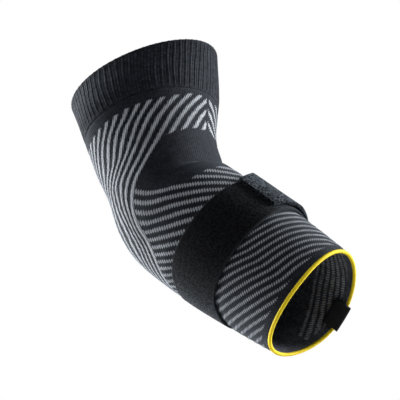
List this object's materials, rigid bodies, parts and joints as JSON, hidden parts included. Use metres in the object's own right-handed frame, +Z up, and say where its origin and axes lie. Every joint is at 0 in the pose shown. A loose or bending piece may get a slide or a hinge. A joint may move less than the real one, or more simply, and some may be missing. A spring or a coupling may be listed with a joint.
{
  "type": "elbow support",
  "caption": "Bent knitted elbow sleeve with a ribbed upper cuff, striped knit, a forearm strap closed by a tab, a bound rim and a folded label.",
  "frame": {"origin": "centre of the elbow, where the axes of the upper arm and the forearm cross inside the sleeve", "axes": "+Z up with the upper arm leaning back from it, +X to the front of the elbow, +Y along the elbow's hinge axis to the far side"},
  "size_m": [0.203, 0.1024, 0.222],
  "materials": {
    "cuff_knit": "matte ribbed knit, anthracite",
    "sleeve_knit": "matte knit, anthracite with light grey stripes",
    "binding_knit": "matte yellow knitted edge",
    "strap_elastic": "matte black woven elastic",
    "tab_fleece": "charcoal heather fleece",
    "label_ribbon": "black satin ribbon"
  },
  "bodies": {
    "root": {"upper_cuff": "cuff_knit", "knit_sleeve": "sleeve_knit", "rim_binding": "binding_knit", "forearm_strap": "strap_elastic", "strap_tab": "tab_fleece", "rim_label": "label_ribbon"}
  },
  "joints": []
}
